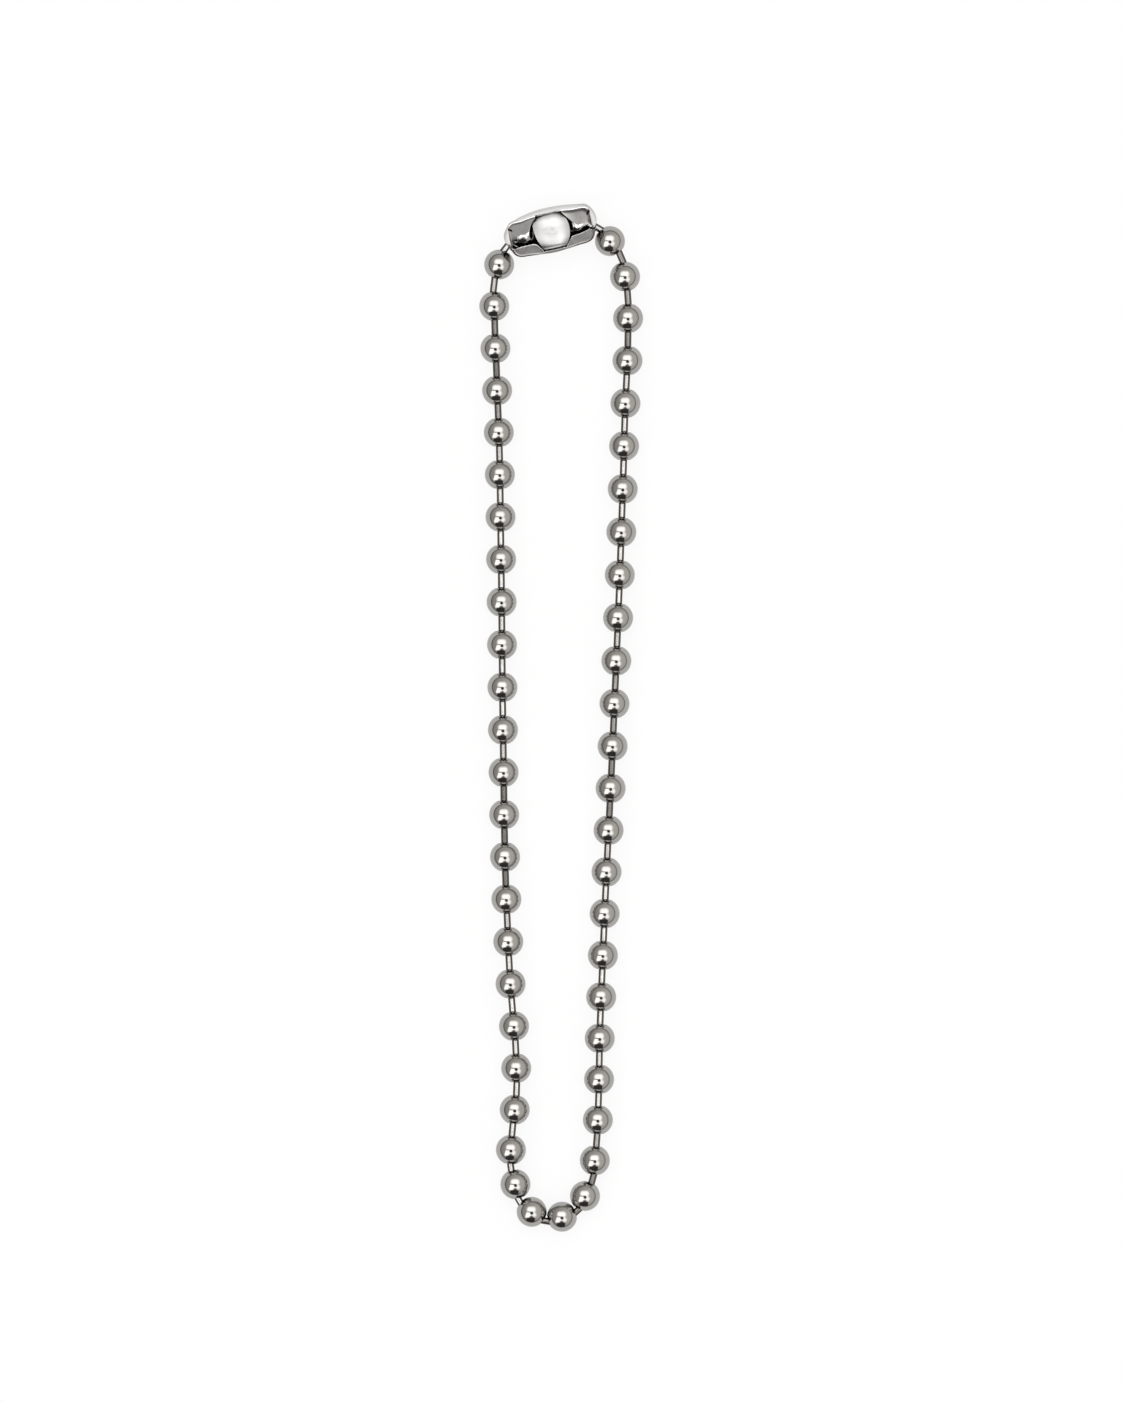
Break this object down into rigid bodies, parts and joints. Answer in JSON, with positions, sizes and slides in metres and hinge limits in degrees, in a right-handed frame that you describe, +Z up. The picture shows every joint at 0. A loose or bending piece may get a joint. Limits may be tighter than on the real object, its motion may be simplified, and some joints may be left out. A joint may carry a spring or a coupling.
{
  "type": "chunky ball chain necklace",
  "caption": "Ball chain necklace of hollow polished steel balls and short dumbbell links, closed by a folded sheet connector with a satin strap, laid flat in a long narrow loop.",
  "frame": {"origin": "On the plane that the chain rests on, under the middle of the whole laid loop.", "axes": "+Z up from the plane; +Y along the loop towards the connector; +X to the right, as seen from above."},
  "size_m": [0.0434, 0.2719, 0.012],
  "materials": {
    "polished_steel": "polished stainless steel, slightly soft reflections",
    "link_steel": "bright drawn steel",
    "satin_steel": "bright satin sheet with rounded folds"
  },
  "bodies": {
    "root": {"ball_beads": "polished_steel", "dumbbell_links": "link_steel", "connector": "satin_steel"}
  },
  "joints": []
}
